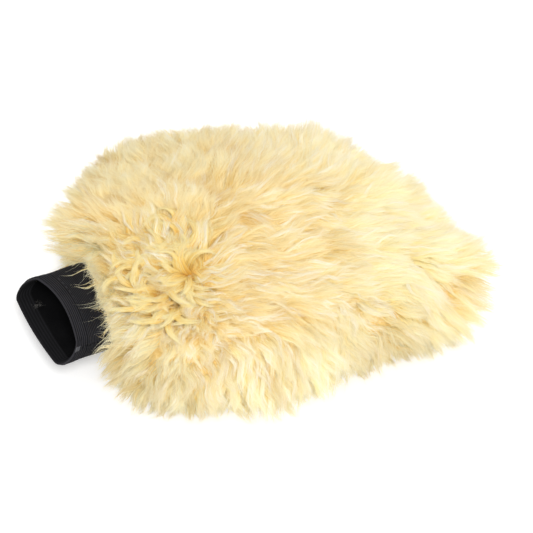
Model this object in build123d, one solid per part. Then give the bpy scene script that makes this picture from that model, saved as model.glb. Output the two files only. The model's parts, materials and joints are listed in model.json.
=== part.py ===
from build123d import *
import os
from math import cos, radians, sin, tan

# Wash mitt: a two-panel bag of long wool on a hide backing, with a hand lining and a wrist cuff of wide
# woven elastic. Millimetres. +X is the way the hand goes in, +Z is up, and the mitt lies on its palm side.
# The shapes are drawn about the middle of the mouth seam, on the plane where the two panels are sewn
# together, and are moved at the end so that the origin is at the middle of the base.

# ---- driving dimensions ------------------------------------------------------------------------------
# Plan outline of the hide: a straight mouth edge, two shoulder arcs that start from it, and two long side
# arcs that run from the shoulders to a round tip. The bag turns towards -Y from the cuff's line.
far_shoulder_radius = 66.0
far_shoulder_y = 34.0
near_shoulder_radius = 45.0
near_shoulder_y = -49.5
tip_radius = 24.0
tip_centre = Vector(210.0, -74.0)
far_side_radius = 180.0
near_side_radius = 420.0

hide_wall = 1.8
pocket_rise = 13.0          # hand space above the seam plane
pocket_drop = 11.0          # hand space below the seam plane
pocket_edge_radius = 9.0
flange_width = 8.0          # seam allowance, turned inwards
flange_hole_inset = 4.0     # stitch holes, from the hide's inner face

pile_over = 28.0            # wool over the back of the hand
pile_side = 24.0            # wool beyond the hide's edge
pile_under = 17.0           # wool under the palm, pressed by the mitt's weight
pile_over_edge_radius = 38.0
pile_under_edge_radius = 18.0

lining_wall = 0.6
lining_edge_radius = 6.0
lining_mouth_inset = 1.0    # the lining's mouth, inside the hide's neck

cuff_half_width = 38.0
cuff_half_height = 7.5
band_wall = 2.0
cuff_tuck = 5.0             # the band's inner end, inside the mouth
cuff_length_upper = 43.0    # from the mouth seam to the rim, on the upper ply
cuff_length_lower = 58.0    # the lower ply reaches further out
cord_size = 0.8
cord_count = 20
facing_wall = 0.6
facing_gap = 1.8            # from the bar tack to the facing's edge

cuff_swing = 18.0           # degrees that the cuff tilts each way on the mouth seam
collar_reach = 6.0          # the hide's neck outside the mouth seam
collar_depth = 8.0          # and inside it
collar_side_clearance = 0.3
collar_swing_clearance = 3.4
collar_corner_radius = 4.0

closing_seam_angle = 50.0   # round the near fold, above the seam plane
closing_seam_gap = 0.5
closing_stitch_span = 2.4
closing_stitch_pitch = 3.0
bar_tack_span = 3.2
bar_tack_pitch = 0.9
bar_tack_count = 4
bar_tack_setback = 1.2
row_stitch_span = 3.0
row_stitch_pitch = 5.0
perimeter_pitch = 9.0

thread_size = 0.7
thread_clearance = 0.3
soft_clearance = 0.1        # between soft pieces of one body
sewn_clearance = 0.15       # between the band and the facing sewn into it
cord_clearance = 0.05
notch_clearance = 1.5       # between the wool and the cuff's sides
beyond = 400.0              # longer than the mitt, for cuts

# ---- values worked out from them ---------------------------------------------------------------------
seam_height = pile_under + hide_wall + pocket_drop
hide_rise = pocket_rise + hide_wall
hide_drop = pocket_drop + hide_wall
hide_edge_radius = pocket_edge_radius + hide_wall
collar_half_width = cuff_half_width + collar_side_clearance
collar_half_height = cuff_half_height + collar_swing_clearance
sewn_depth = band_wall + sewn_clearance + facing_wall
lining_inset = hide_wall + flange_width + thread_clearance + thread_size + thread_clearance
upper_rim_x = -cuff_length_upper
lower_rim_x = -cuff_length_lower
rim_middle_x = (upper_rim_x + lower_rim_x) / 2
rim_slope = (upper_rim_x - lower_rim_x) / (2 * cuff_half_height)
tack_reach = bar_tack_setback + (bar_tack_count - 1) * bar_tack_pitch + thread_size / 2
tack_slant = rim_slope * (bar_tack_span + thread_size) / 2
facing_setback = tack_reach + tack_slant + facing_gap


# ---- plan outline ------------------------------------------------------------------------------------
def far_centre():
    return Vector(far_shoulder_radius, far_shoulder_y)


def near_centre():
    return Vector(near_shoulder_radius, near_shoulder_y)


def side_centre(start, start_radius, end, end_radius, side_radius):
    """Centre of the long arc that holds two smaller circles, touching each from inside. It lies to the
    right of the way from start to end."""
    to_start = side_radius - start_radius
    to_end = side_radius - end_radius
    way = end - start
    along = (to_start**2 - to_end**2 + way.length**2) / (2 * way.length)
    across = (to_start**2 - along**2) ** 0.5
    forward = way.normalized()
    right = Vector(forward.Y, -forward.X)
    return start + forward * along + right * across


def arc_about(centre, radius, from_direction, to_direction):
    """Arc of less than half a turn about centre, between two unit directions."""
    middle = (from_direction + to_direction).normalized()
    return ThreePointArc(
        centre + from_direction * radius, centre + middle * radius, centre + to_direction * radius
    )


def outline(grow):
    """Plan outline of the hide, moved outwards by grow, as a face on the seam plane."""
    far = far_centre()
    near = near_centre()
    far_side = side_centre(far, far_shoulder_radius, tip_centre, tip_radius, far_side_radius)
    near_side = side_centre(tip_centre, tip_radius, near, near_shoulder_radius, near_side_radius)
    outwards = Vector(-1, 0)
    far_start = (far - far_side).normalized()
    far_end = (tip_centre - far_side).normalized()
    near_start = (tip_centre - near_side).normalized()
    near_end = (near - near_side).normalized()
    edges = [
        Line(near + outwards * (near_shoulder_radius + grow), far + outwards * (far_shoulder_radius + grow)),
        arc_about(far, far_shoulder_radius + grow, outwards, far_start),
        arc_about(far_side, far_side_radius + grow, far_start, far_end),
        arc_about(tip_centre, tip_radius + grow, far_end, near_start),
        arc_about(near_side, near_side_radius + grow, near_start, near_end),
        arc_about(near, near_shoulder_radius + grow, near_end, outwards),
    ]
    return make_face(Curve() + edges)


def pillow(grow, rise, edge_radius):
    """The outline raised by rise, with its top edge rounded. Its base is on the seam plane."""
    block = extrude(outline(grow), amount=rise)
    return fillet(block.faces().sort_by(Axis.Z)[-1].edges(), radius=edge_radius)


def hanging_pillow(grow, drop, edge_radius):
    return mirror(pillow(grow, drop, edge_radius), about=Plane.XY)


# ---- cuff sections -----------------------------------------------------------------------------------
def oval_bar(half_width, half_height, start_x, end_x):
    """Bar along X whose section is two straight plies joined by round folds."""
    section = Plane.YZ.offset(start_x) * SlotOverall(2 * half_width, 2 * half_height)
    return extrude(section, amount=end_x - start_x)


def neck_bar(grow, start_x, end_x):
    """Bar along X that fills the hide's neck, grown by grow. Its sides stay upright, so that the cuff's
    folds have room to tilt."""
    width = 2 * (collar_half_width + grow)
    height = 2 * (collar_half_height + grow)
    section = Plane.YZ.offset(start_x) * RectangleRounded(width, height, collar_corner_radius + grow)
    return extrude(section, amount=end_x - start_x)


def oval_sleeve(inset, wall, start_x, end_x):
    """Sleeve whose outer face lies inset inside the cuff's outer face."""
    outer = oval_bar(cuff_half_width - inset, cuff_half_height - inset, start_x, end_x)
    inner = oval_bar(cuff_half_width - inset - wall, cuff_half_height - inset - wall, start_x, end_x)
    return outer - inner


def cuff_x(share, z):
    """Where a rib lies at height z: share 0 is the band's square inner end, and 1 its slanted rim."""
    rim_x = rim_middle_x + rim_slope * z
    return cuff_tuck + share * (rim_x - cuff_tuck)


def cuff_slice(from_share, to_share, margin=0.0):
    """Everything between two ribs of the cuff, widened along X by margin each way."""
    reach = 2 * cuff_half_height
    corners = [
        (cuff_x(from_share, -reach) + margin, -reach),
        (cuff_x(from_share, reach) + margin, reach),
        (cuff_x(to_share, reach) - margin, reach),
        (cuff_x(to_share, -reach) - margin, -reach),
    ]
    profile = Plane.XZ * make_face(Polyline(*corners, close=True))
    return extrude(profile, amount=2 * cuff_half_width, both=True)


def share_from_rim(distance):
    """Share of the way along the cuff at a distance from the rim, measured at mid height."""
    return 1 - distance / (cuff_tuck - rim_middle_x)


def fold_frame(x, angle, inset=0.0):
    """Frame on the near fold's outer face: local X goes round the fold and local Z points outwards."""
    radius = cuff_half_height - inset
    fold_y = cuff_half_height - cuff_half_width
    y = fold_y - radius * cos(radians(angle))
    z = radius * sin(radians(angle))
    normal = Vector(0, -cos(radians(angle)), sin(radians(angle)))
    round_fold = Vector(0, sin(radians(angle)), cos(radians(angle)))
    return Plane(origin=(x, y, z), x_dir=round_fold, z_dir=normal)


def ply_frame(x, y, z, up):
    """Frame on a flat ply: local X runs across the cuff and local Z points outwards."""
    return Plane(origin=(x, y, z), x_dir=(0, 1, 0), z_dir=(0, 0, up))


# ---- thread ------------------------------------------------------------------------------------------
def thread_loop(span, depth):
    """One stitch: a square-cornered loop through two holes, span apart, in a wall that is depth thick.
    The wall's outer face is at local Z 0, and the wall lies below it."""
    low = -depth - thread_clearance
    outer_height = depth + 2 * (thread_clearance + thread_size)
    inner_height = depth + 2 * thread_clearance
    outer = Pos(0, 0, low - thread_size) * Box(
        span + thread_size, thread_size, outer_height, align=(Align.CENTER, Align.CENTER, Align.MIN)
    )
    inner = Pos(0, 0, low) * Box(
        span - thread_size, 2 * thread_size, inner_height, align=(Align.CENTER, Align.CENTER, Align.MIN)
    )
    return outer - inner


def thread_hole(offset, depth):
    """Hole for one leg of a stitch, offset along local X from the stitch's middle."""
    size = thread_size + 2 * thread_clearance
    return Pos(offset, 0, -depth / 2) * Box(size, size, depth + 4 * thread_clearance)


def thread_holes(span, depth):
    return [thread_hole(-span / 2, depth), thread_hole(span / 2, depth)]


def placed(frames, make, *sizes):
    """What make(*sizes) gives, on each frame, as one flat list."""
    result = []
    for frame in frames:
        made = make(*sizes)
        items = made if isinstance(made, list) else [made]
        result += [frame * item for item in items]
    return result


def stations(start, end, pitch):
    """Evenly spaced places from start to end, close to pitch apart."""
    steps = max(1, round(abs(end - start) / pitch))
    return [start + (end - start) * i / steps for i in range(steps + 1)]


# ---- where the stitches lie --------------------------------------------------------------------------
def closing_frames():
    """Closing seam: along the near fold, from the neck to the bar tack."""
    first = -collar_reach - closing_stitch_span
    tack_end = bar_tack_setback + bar_tack_count * bar_tack_pitch
    z = cuff_half_height * sin(radians(closing_seam_angle))
    last = cuff_x(share_from_rim(facing_setback), z)
    last = max(last, cuff_x(1, z) + tack_end) + closing_stitch_span
    return [fold_frame(x, closing_seam_angle) for x in stations(first, last, closing_stitch_pitch)]


def bar_tack_frames():
    z = cuff_half_height * sin(radians(closing_seam_angle))
    start = cuff_x(1, z) + bar_tack_setback
    return [fold_frame(start + i * bar_tack_pitch, closing_seam_angle) for i in range(bar_tack_count)]


def facing_row_frames():
    """Row that holds the facing's outer edge, between two ribs, on the flat part of each ply."""
    rib = round(share_from_rim(facing_setback + row_stitch_span) * cord_count)
    share = rib / cord_count
    half_run = cuff_half_width - cuff_half_height - row_stitch_span
    frames = []
    for up in (1, -1):
        x = cuff_x(share, up * (cuff_half_height - band_wall / 2))
        for y in stations(-half_run, half_run, row_stitch_pitch):
            frames.append(ply_frame(x, y, up * cuff_half_height, up))
    return frames


def mouth_row_frames():
    """Mouth seam: a row through the hide's neck, on the flat part of each ply."""
    outer = collar_half_height + hide_wall
    half_run = collar_half_width - collar_corner_radius - 2 * row_stitch_span
    frames = []
    for up in (1, -1):
        for y in stations(-half_run, half_run, row_stitch_pitch):
            frames.append(ply_frame(-collar_reach / 2, y, up * outer, up))
    return frames


def perimeter_frames(inset):
    """Places round the bag, inset from the hide's outer edge, leaving out the mouth. Local X points
    inwards and local Y runs along the edge."""
    edge = outline(-inset).face().outer_wire()
    count = round(edge.length / perimeter_pitch)
    frames = []
    for i in range(count):
        place = edge.position_at(i / count)
        along = edge.tangent_at(i / count)
        inwards = Vector(0, 0, 1).cross(along)
        if (outline_middle() - place).dot(inwards) < 0:
            inwards = inwards * -1
        at_mouth = abs(place.Y) < collar_half_width + 2 * flange_width and place.X < 2 * flange_width
        if not at_mouth:
            frames.append(Plane(origin=(place.X, place.Y, hide_wall), x_dir=inwards, z_dir=(0, 0, 1)))
    return frames


def outline_middle():
    return (far_centre() + near_centre() + tip_centre) / 3


# ---- pieces of the bag -------------------------------------------------------------------------------
def hide_body():
    """Both hides as one hollow bag with its neck, before they are parted on the seam plane."""
    outer = pillow(0, hide_rise, hide_edge_radius) + hanging_pillow(0, hide_drop, hide_edge_radius)
    outer += neck_bar(hide_wall, -collar_reach, collar_depth)
    inner = pillow(-hide_wall, pocket_rise, pocket_edge_radius)
    inner += hanging_pillow(-hide_wall, pocket_drop, pocket_edge_radius)
    flange = extrude(outline(-soft_clearance), amount=hide_wall, both=True)
    flange -= extrude(outline(-hide_wall - flange_width), amount=2 * hide_wall, both=True)
    throat = neck_bar(0, -2 * collar_reach, collar_depth + flange_width)
    return outer - inner + flange - throat


def above(solid):
    return solid & Pos(0, 0, beyond / 2) * Box(beyond * 2, beyond * 2, beyond)


def below(solid):
    return solid & Pos(0, 0, -beyond / 2) * Box(beyond * 2, beyond * 2, beyond)


def hide_space():
    """What the hides and the neck fill, with the pocket, grown by the clearance of soft pieces."""
    grow = soft_clearance
    space = pillow(grow, hide_rise + grow, hide_edge_radius + grow)
    space += hanging_pillow(grow, hide_drop + grow, hide_edge_radius + grow)
    stitch_room = hide_wall + thread_clearance + thread_size + grow
    space += neck_bar(stitch_room, -2 * collar_reach, collar_depth)
    return space


def swing_space():
    """What the cuff sweeps outside the mouth as it tilts each way."""
    start = collar_half_height + hide_wall + thread_clearance + thread_size
    end = start + beyond * tan(radians(cuff_swing))
    profile = Plane.XZ * make_face(
        Polyline((0, -start), (0, start), (-beyond, end), (-beyond, -end), close=True)
    )
    return extrude(profile, amount=cuff_half_width + notch_clearance, both=True)


def over_cuff_space():
    """The wool over the cuff parts above it, so that the cuff shows as far as the mouth."""
    half_width = cuff_half_width + notch_clearance
    return Pos(-beyond / 2, 0, 0) * Box(
        beyond, 2 * half_width, beyond, align=(Align.CENTER, Align.CENTER, Align.MIN)
    )


def upper_fleece():
    pile = pillow(pile_side, hide_rise + pile_over, pile_over_edge_radius)
    return pile - hide_space() - swing_space() - over_cuff_space()


def lower_fleece():
    pile = hanging_pillow(pile_side, seam_height, pile_under_edge_radius)
    return pile - hide_space() - swing_space()


def lining_panel(rise):
    """One panel of the hand lining, open at the mouth, with its edge on the seam plane."""
    outer_rise = rise - 3 * soft_clearance
    panel = pillow(-lining_inset, outer_rise, lining_edge_radius)
    panel -= pillow(-lining_inset - lining_wall, outer_rise - lining_wall, lining_edge_radius - lining_wall)
    return panel - neck_bar(-lining_mouth_inset, -collar_reach, 2 * lining_inset)


# ---- pieces of the cuff ------------------------------------------------------------------------------
def sleeve_in_cuff(inset, wall):
    return oval_sleeve(inset, wall, lower_rim_x - cuff_half_height * rim_slope, cuff_tuck + cuff_half_height)


def cord_rings(clearance):
    """The band's rubber threads, or with a clearance the tunnels that they lie in."""
    inset = (band_wall - cord_size) / 2 - clearance
    sleeve = sleeve_in_cuff(inset, cord_size + 2 * clearance)
    rings = []
    for i in range(cord_count):
        share = (i + 0.5) / cord_count
        rings.append(sleeve & cuff_slice(share, share, margin=cord_size / 2 + clearance))
    return rings


def closing_gap(width):
    """Cut along the closing seam, of a given width round the fold."""
    length = 2 * (cuff_tuck - lower_rim_x)
    frame = fold_frame(0, closing_seam_angle, inset=band_wall / 2)
    return frame * Box(width, length, 2 * band_wall)


def cuff_stitch_holes():
    holes = placed(closing_frames(), thread_holes, closing_stitch_span, sewn_depth)
    holes += placed(facing_row_frames(), thread_holes, row_stitch_span, sewn_depth)
    holes += placed(bar_tack_frames(), thread_holes, bar_tack_span, band_wall)
    return holes


def cuff_band(holes):
    band = sleeve_in_cuff(0, band_wall) & cuff_slice(0, 1)
    band -= closing_gap(closing_seam_gap)
    return band - cord_rings(cord_clearance) - holes


def cuff_elastic_cords():
    """Each rubber thread stops short of the closing seam, clear of its stitches."""
    stop = max(closing_stitch_span, bar_tack_span) + thread_size + 2 * thread_clearance
    gap = closing_gap(stop)
    return [ring - gap for ring in cord_rings(0)]


def cuff_facing(holes):
    facing = sleeve_in_cuff(band_wall + sewn_clearance, facing_wall)
    return facing & cuff_slice(0, share_from_rim(facing_setback)) - Compound(holes)


# ---- assembly ----------------------------------------------------------------------------------------
def solids_of(made):
    items = made if isinstance(made, list) else [made]
    return [solid for item in items for solid in item.solids()]


perimeter_span = flange_width - flange_hole_inset + thread_clearance + thread_size / 2
perimeter_holes_at = perimeter_frames(hide_wall + flange_hole_inset)
perimeter_loops_at = [Plane(frame.location * Pos(perimeter_span / 2, 0, 0)) for frame in perimeter_holes_at]
flange_holes = placed(perimeter_holes_at, thread_hole, 0, 2 * hide_wall)
mouth_holes = placed(mouth_row_frames(), thread_holes, row_stitch_span, hide_wall)
hides = hide_body() - flange_holes - mouth_holes
cuff_holes = cuff_stitch_holes()

pieces = {
    "upper_fleece": upper_fleece(),
    "lower_fleece": lower_fleece(),
    "upper_hide": above(hides),
    "lower_hide": below(hides),
    "upper_lining": lining_panel(pocket_rise),
    "lower_lining": mirror(lining_panel(pocket_drop), about=Plane.XY),
    "perimeter_stitches": placed(perimeter_loops_at, thread_loop, perimeter_span, 2 * hide_wall),
    "mouth_stitches": placed(mouth_row_frames(), thread_loop, row_stitch_span, hide_wall),
    "cuff_band": cuff_band(cuff_holes),
    "cuff_elastic_cords": cuff_elastic_cords(),
    "cuff_facing": cuff_facing(cuff_holes),
    "cuff_facing_stitches": placed(facing_row_frames(), thread_loop, row_stitch_span, sewn_depth),
    "cuff_closing_stitches": placed(closing_frames(), thread_loop, closing_stitch_span, sewn_depth),
    "cuff_bar_tack": placed(bar_tack_frames(), thread_loop, bar_tack_span, band_wall),
}

solids = {name: solids_of(made) for name, made in pieces.items()}
box = Compound([solid for group in solids.values() for solid in group]).bounding_box()
to_base = Pos(-(box.min.X + box.max.X) / 2, -(box.min.Y + box.max.Y) / 2, seam_height)

os.makedirs("parts", exist_ok=True)
for name, group in solids.items():
    export_step(Compound([to_base * solid for solid in group]), f"parts/{name}.step")
print("mouth seam middle at", to_base.position)
print("size", box.size)
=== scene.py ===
import json
import math

import bpy
import numpy as np
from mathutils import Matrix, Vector
from mathutils.geometry import convex_hull_2d


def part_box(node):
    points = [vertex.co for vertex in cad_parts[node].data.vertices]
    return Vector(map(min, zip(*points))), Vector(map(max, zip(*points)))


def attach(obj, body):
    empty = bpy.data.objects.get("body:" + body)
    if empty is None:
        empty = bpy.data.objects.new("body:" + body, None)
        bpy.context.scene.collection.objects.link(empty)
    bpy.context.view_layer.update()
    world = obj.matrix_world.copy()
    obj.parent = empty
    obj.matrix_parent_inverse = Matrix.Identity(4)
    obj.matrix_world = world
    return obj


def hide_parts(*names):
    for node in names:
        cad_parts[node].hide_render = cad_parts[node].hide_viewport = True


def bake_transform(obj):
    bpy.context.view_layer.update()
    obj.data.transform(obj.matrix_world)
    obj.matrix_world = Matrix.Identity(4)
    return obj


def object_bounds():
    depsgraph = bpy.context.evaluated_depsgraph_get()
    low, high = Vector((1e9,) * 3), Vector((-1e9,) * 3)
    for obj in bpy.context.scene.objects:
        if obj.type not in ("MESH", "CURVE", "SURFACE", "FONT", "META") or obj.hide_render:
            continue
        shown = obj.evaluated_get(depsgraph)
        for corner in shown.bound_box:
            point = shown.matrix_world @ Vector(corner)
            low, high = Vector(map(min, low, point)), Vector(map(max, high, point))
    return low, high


# Looks of a long-pile wool wash mitt: wool locks on both hides, and a ribbed elastic cuff on the mouth.
# Everything is in metres, in the row frame: +X is the way the hand goes in and +Z is up.

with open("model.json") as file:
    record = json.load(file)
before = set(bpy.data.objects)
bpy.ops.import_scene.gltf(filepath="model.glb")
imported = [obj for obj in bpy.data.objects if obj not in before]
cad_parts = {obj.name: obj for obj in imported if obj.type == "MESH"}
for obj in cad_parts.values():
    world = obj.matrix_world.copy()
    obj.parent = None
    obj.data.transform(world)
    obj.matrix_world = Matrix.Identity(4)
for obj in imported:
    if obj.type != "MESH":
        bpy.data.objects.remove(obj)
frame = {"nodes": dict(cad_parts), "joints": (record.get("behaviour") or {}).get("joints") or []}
cad_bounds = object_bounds()

MM = 0.001

# ---- sizes ----
hide_edge_radius = 10.8 * MM       # rounded edge of the hides, seen in section
floor_gap = 0.5 * MM               # the lowest wool lies this far above the floor
root_lift = 5 * MM                 # locks are modelled from this far above the skin, inside the undercoat
undercoat_over = 13 * MM           # the matted wool at the locks' roots: its thickness on the back,
undercoat_side = 9 * MM            # round the edge
undercoat_under = 8 * MM           # and on the palm

lock_count_back = 8400             # locks on the back of the hand, which is on top
lock_count_palm = 2200
strands_per_lock = 18
lock_radius = 2.3 * MM
tuft_spacing = 11 * MM             # neighbouring locks lean together into tufts this far apart
shadow_share = 0.08                # the share of the strands that shade the others; wool lets light through
strand_steps = 8                   # points along a strand's centre line
strand_radius = 0.20 * MM
strands_per_piece = 15000
fringe_bend = (-2 * MM, 18 * MM)   # a span by the mouth, from this far inside it to this far outside it

# The strands' families, which differ in colour. The deep family is painted shade and the highlight family
# painted highlight, and the greyer family is painted shade where make_wool picks it for the cuff's end and
# the low near side.
PLAIN, GOLDEN, PALE, GREY, CURLED, DEEP_SHADE, PAINTED_HIGHLIGHT = range(7)

rib_pitch = 1.35 * MM              # the elastic's ribs run round the cuff
rib_height = 0.26 * MM
selvedge_pitch = 1.6 * MM          # coarser ribs next to the rim
selvedge_height = 0.34 * MM
selvedge_width = 10 * MM
band_wall = 2.0 * MM
facing_wall = 0.6 * MM
facing_setback = 8.0 * MM          # from the rim to the facing's edge
facing_past = 8.0 * MM             # the facing runs on past the band and spreads out to the lining
rim_skew = 5.0 * MM                # the worn rim stands out more on the far side, and less on the near
ply_arch = 9.0 * MM                # the upper ply bows up in its middle
seam_angle = 50.0                  # the closing seam, in degrees round the near fold above its middle

# ---- places taken from the frame ----
hinge = next(j for j in frame["joints"] if j["name"] == "cuff_flex")
mouth = np.array(hinge["pos_m"])
swing = math.radians(max(hinge["range_deg"]))


def node_points(name):
    mesh = frame["nodes"][name].data
    co = np.zeros(len(mesh.vertices) * 3, np.float32)
    mesh.vertices.foreach_get("co", co)
    return co.reshape(-1, 3).astype(float)


def node_box(name):
    low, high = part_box(name)
    return np.array(low), np.array(high)


back_top = node_box("upper_hide")[1][2]
palm_bottom = node_box("lower_hide")[0][2]
cuff_low, cuff_high = node_box("cuff_band")
cuff_middle_y = (cuff_low[1] + cuff_high[1]) / 2
cuff_half_width = (cuff_high[1] - cuff_low[1]) / 2
cuff_half_height = (cuff_high[2] - cuff_low[2]) / 2
cuff_middle_z = (cuff_high[2] + cuff_low[2]) / 2


def bend_at_mouth(piece, start=6 * MM, end=20 * MM):
    """Bakes the piece's place into its mesh, where it stays; the piece doesn't bend at the mouth."""
    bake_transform(piece)


def smooth(x, start, end):
    """0 before start, 1 after end, and a smooth step between."""
    t = np.clip((x - start) / (end - start), 0, 1)
    return t * t * (3 - 2 * t)


def unit(v):
    return v / np.maximum(np.linalg.norm(v, axis=-1, keepdims=True), 1e-9)


def mesh_object(name, points, faces, material, soft=True):
    """A new object from points and faces, with one material."""
    mesh = bpy.data.meshes.new(name)
    mesh.from_pydata(points, [], faces)
    mesh.polygons.foreach_set("use_smooth", np.full(len(mesh.polygons), soft))
    mesh.materials.append(material)
    obj = bpy.data.objects.new(name, mesh)
    bpy.context.scene.collection.objects.link(obj)
    return obj


class Outline:
    """The hides' outline seen from above: evenly spaced points and their outward normals."""

    def __init__(self, spacing=1.5 * MM):
        plan = node_points("upper_hide")[:, :2]
        plan = plan[plan[:, 0] >= mouth[0] - 1e-5]
        corners = plan[convex_hull_2d([Vector(p) for p in plan])]
        closed = np.vstack([corners, corners[:1]])
        run = np.r_[0, np.cumsum(np.linalg.norm(np.diff(closed, axis=0), axis=1))]
        at = np.linspace(0, run[-1], int(run[-1] / spacing), endpoint=False)
        self.points = np.stack([np.interp(at, run, closed[:, i]) for i in (0, 1)], 1)
        way = unit(np.roll(self.points, -1, 0) - np.roll(self.points, 1, 0))
        self.normals = np.stack([way[:, 1], -way[:, 0]], 1)
        centre = self.points.mean(0)
        if ((self.points - centre) * self.normals).sum() < 0:
            self.normals *= -1

    def inside(self, plan):
        """How far each plan point lies inside the outline, and the outward normal nearest to it."""
        depth, normal = np.zeros(len(plan)), np.zeros((len(plan), 2))
        for start in range(0, len(plan), 4000):
            part = plan[start : start + 4000]
            away = (self.points[None] * self.normals[None]).sum(2) - part @ self.normals.T
            nearest = away.argmin(1)
            depth[start : start + 4000] = away[np.arange(len(part)), nearest]
            normal[start : start + 4000] = self.normals[nearest]
        return depth, normal


outline = Outline()
tip = outline.points[np.linalg.norm(outline.points - mouth[:2], axis=1).argmax()]
along = unit(tip - mouth[:2])                       # from the mouth to the tip
across = np.array([-along[1], along[0]])            # to the far side


def plan_coordinates(plan):
    """Distance along the mitt from the mouth, and across it, in millimetres."""
    away = plan - mouth[:2]
    return away @ along / MM, away @ across / MM


def waves(plan, size, seed):
    """Smooth noise from about -1 to 1 over the plan, with features of the given size."""
    rng = np.random.default_rng(seed)
    total = np.zeros(len(plan))
    for _ in range(7):
        heading = rng.uniform(0, 2 * math.pi)
        step = np.array([math.cos(heading), math.sin(heading)]) * rng.uniform(0.7, 1.4) / size
        total += np.sin(2 * math.pi * (plan @ step) + rng.uniform(0, 2 * math.pi))
    return total / 2.6


# ---- wool ----
swirl_s, swirl_t = 56.0, -4.0       # the locks part here, in millimetres along and across the mitt


def skin_roots(count, side, rng):
    """Random places on a hide's outside, with the skin's normal: side is 1 for the back, -1 for the palm."""
    low, high = outline.points.min(0), outline.points.max(0)
    kept = []
    while sum(len(k) for k in kept) < count:
        plan = rng.uniform(low, high, (4 * count, 2))
        depth, _ = outline.inside(plan)
        share = np.clip(1 - depth / hide_edge_radius, 0, 0.97)
        steepness = 1 / np.sqrt(1 - share**2)       # the rounded edge has more skin than plan
        kept.append(plan[(depth > 0) & (rng.uniform(0, 4.2, len(plan)) < steepness)])
    plan = np.concatenate(kept)[:count]
    depth, out = outline.inside(plan)
    share = np.clip(1 - depth / hide_edge_radius, 0, 1)
    rise = np.sqrt(1 - share**2)
    peak = back_top if side > 0 else palm_bottom
    height = peak - side * hide_edge_radius * (1 - rise)
    wall = depth < 0.4 * MM                         # the upright strip between the edge and the seam
    height[wall] = mouth[2] + rng.uniform(0, 1, wall.sum()) * (peak - side * hide_edge_radius - mouth[2])
    normals = unit(np.column_stack([out * share[:, None], side * rise]))
    lift = root_lift * (1 - 0.9 * beside_mouth(plan, 4 * MM, 30 * MM))
    roots = np.column_stack([plan, height]) + normals * lift[:, None]
    return roots, normals, depth, out


def beside_mouth(plan, start, end):
    """1 on the mitt right beside the mouth, and 0 from the given distances along and to the sides."""
    ahead = smooth(plan[:, 0] - mouth[0], start, end)
    aside = smooth(np.abs(plan[:, 1] - cuff_middle_y), cuff_half_width - 8 * MM, cuff_half_width + 8 * MM)
    return (1 - ahead) * (1 - aside)


def lean_of(roots, depth, out, side, rng):
    """Which way each lock lies, as a unit vector."""
    plan = roots[:, :2]
    s, t = plan_coordinates(plan)
    count = len(plan)
    turn = 0.42 * waves(plan, 46 * MM, 3) + 0.26 * waves(plan, 17 * MM, 4) + rng.normal(0, 0.20, count)
    turn -= 0.30 * smooth(-t, 0, 60) * smooth(s, 50, 110) + 0.22 * smooth(s, 120, 200)
    combed = np.cos(turn)[:, None] * along + np.sin(turn)[:, None] * across
    from_swirl = np.column_stack([s - swirl_s, t - swirl_t])
    radial = unit(from_swirl[:, :1] * along + from_swirl[:, 1:] * across)
    twist = 0.5 * waves(plan, 20 * MM, 5) + rng.normal(0, 0.3, count)
    twist *= smooth(depth / MM, 0, 30)
    radial = unit(radial + twist[:, None] * np.column_stack([-radial[:, 1], radial[:, 0]]))
    behind = 1 - smooth(s, swirl_s - 6, swirl_s + 40)
    lie = combed * (1 - behind)[:, None] + radial * behind[:, None]
    far = smooth(t, 44, 90)
    near = smooth(-t, 30, 66)
    edge = np.maximum(1 - smooth(depth / MM, 4, 34), 0.8 * far)
    edge = np.maximum(edge, 0.35 * near)
    edge *= 1 - 0.45 * smooth(s, 120, 200)          # towards the tip the wool keeps to the mitt's line
    lie = unit(lie * (1 - edge)[:, None] + out * edge[:, None] * 1.1)
    stand = 0.08 + 0.34 * far + 0.20 * behind * (1 - near) + 0.05 * near + 0.10 * waves(plan, 16 * MM, 6)
    stand -= 0.22 * far * smooth(s, 110, 190)
    tall, short = beside_mouth(plan, 8 * MM, 38 * MM), beside_mouth(plan, 3 * MM, 12 * MM)
    stand += (0.42 - stand) * tall
    stand += (0.30 - stand) * short
    if side < 0:
        stand = np.full(count, 0.25)
    stand = np.clip(stand + rng.normal(0, 0.07, count), 0.0, 0.7)
    rise = np.sin(stand * math.pi / 2)
    flat = np.cos(stand * math.pi / 2)
    return np.column_stack([lie * flat[:, None], side * rise])


def grow(roots, normals, leans, lengths, droop, bend_by=0.62):
    """Centre lines, a row of points a lock, that leave the skin along its normal and bend to their lean."""
    points = np.zeros((len(roots), strand_steps, 3))
    points[:, 0] = roots
    step = (lengths / (strand_steps - 1))[:, None]
    for k in range(1, strand_steps):
        u = (k - 0.5) / (strand_steps - 1)
        b = smooth(u, 0.02, bend_by)
        way = unit(normals * (1 - b) + leans * b)
        way[:, 2] -= droop * u * u
        at = points[:, k - 1] + unit(way) * step
        low = at[:, 2] < floor_gap * 3
        way[low, 2] = 0
        at[low] = points[low, k - 1] + unit(way[low]) * step[low]
        points[:, k] = at
    return points


# How much further the wool round the edge reaches than the rest, in millimetres, by the angle round the
# middle of the mitt: 0 at the tip, 90 on the far side and -90 on the near side.
edge_reach = (
    (-180, -3), (-165, -7), (-150, -3), (-135, -14), (-120, -14), (-105, 0), (-90, -3), (-75, -6),
    (-60, -18), (-45, -11), (-38, -22), (-33, -10), (-27, -6), (-20, -2), (-13, 4), (-6, 4), (0, 4),
    (15, -13), (30, -7), (45, 7), (60, 0), (75, 11), (90, 1), (105, -6), (120, -3), (135, 0), (150, 2),
    (165, 7), (180, -3),
)


def reach_round(s, t):
    angles, reach = np.array(edge_reach, float).T
    return np.interp(np.degrees(np.arctan2(t, s - 125)), angles, reach)


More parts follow.
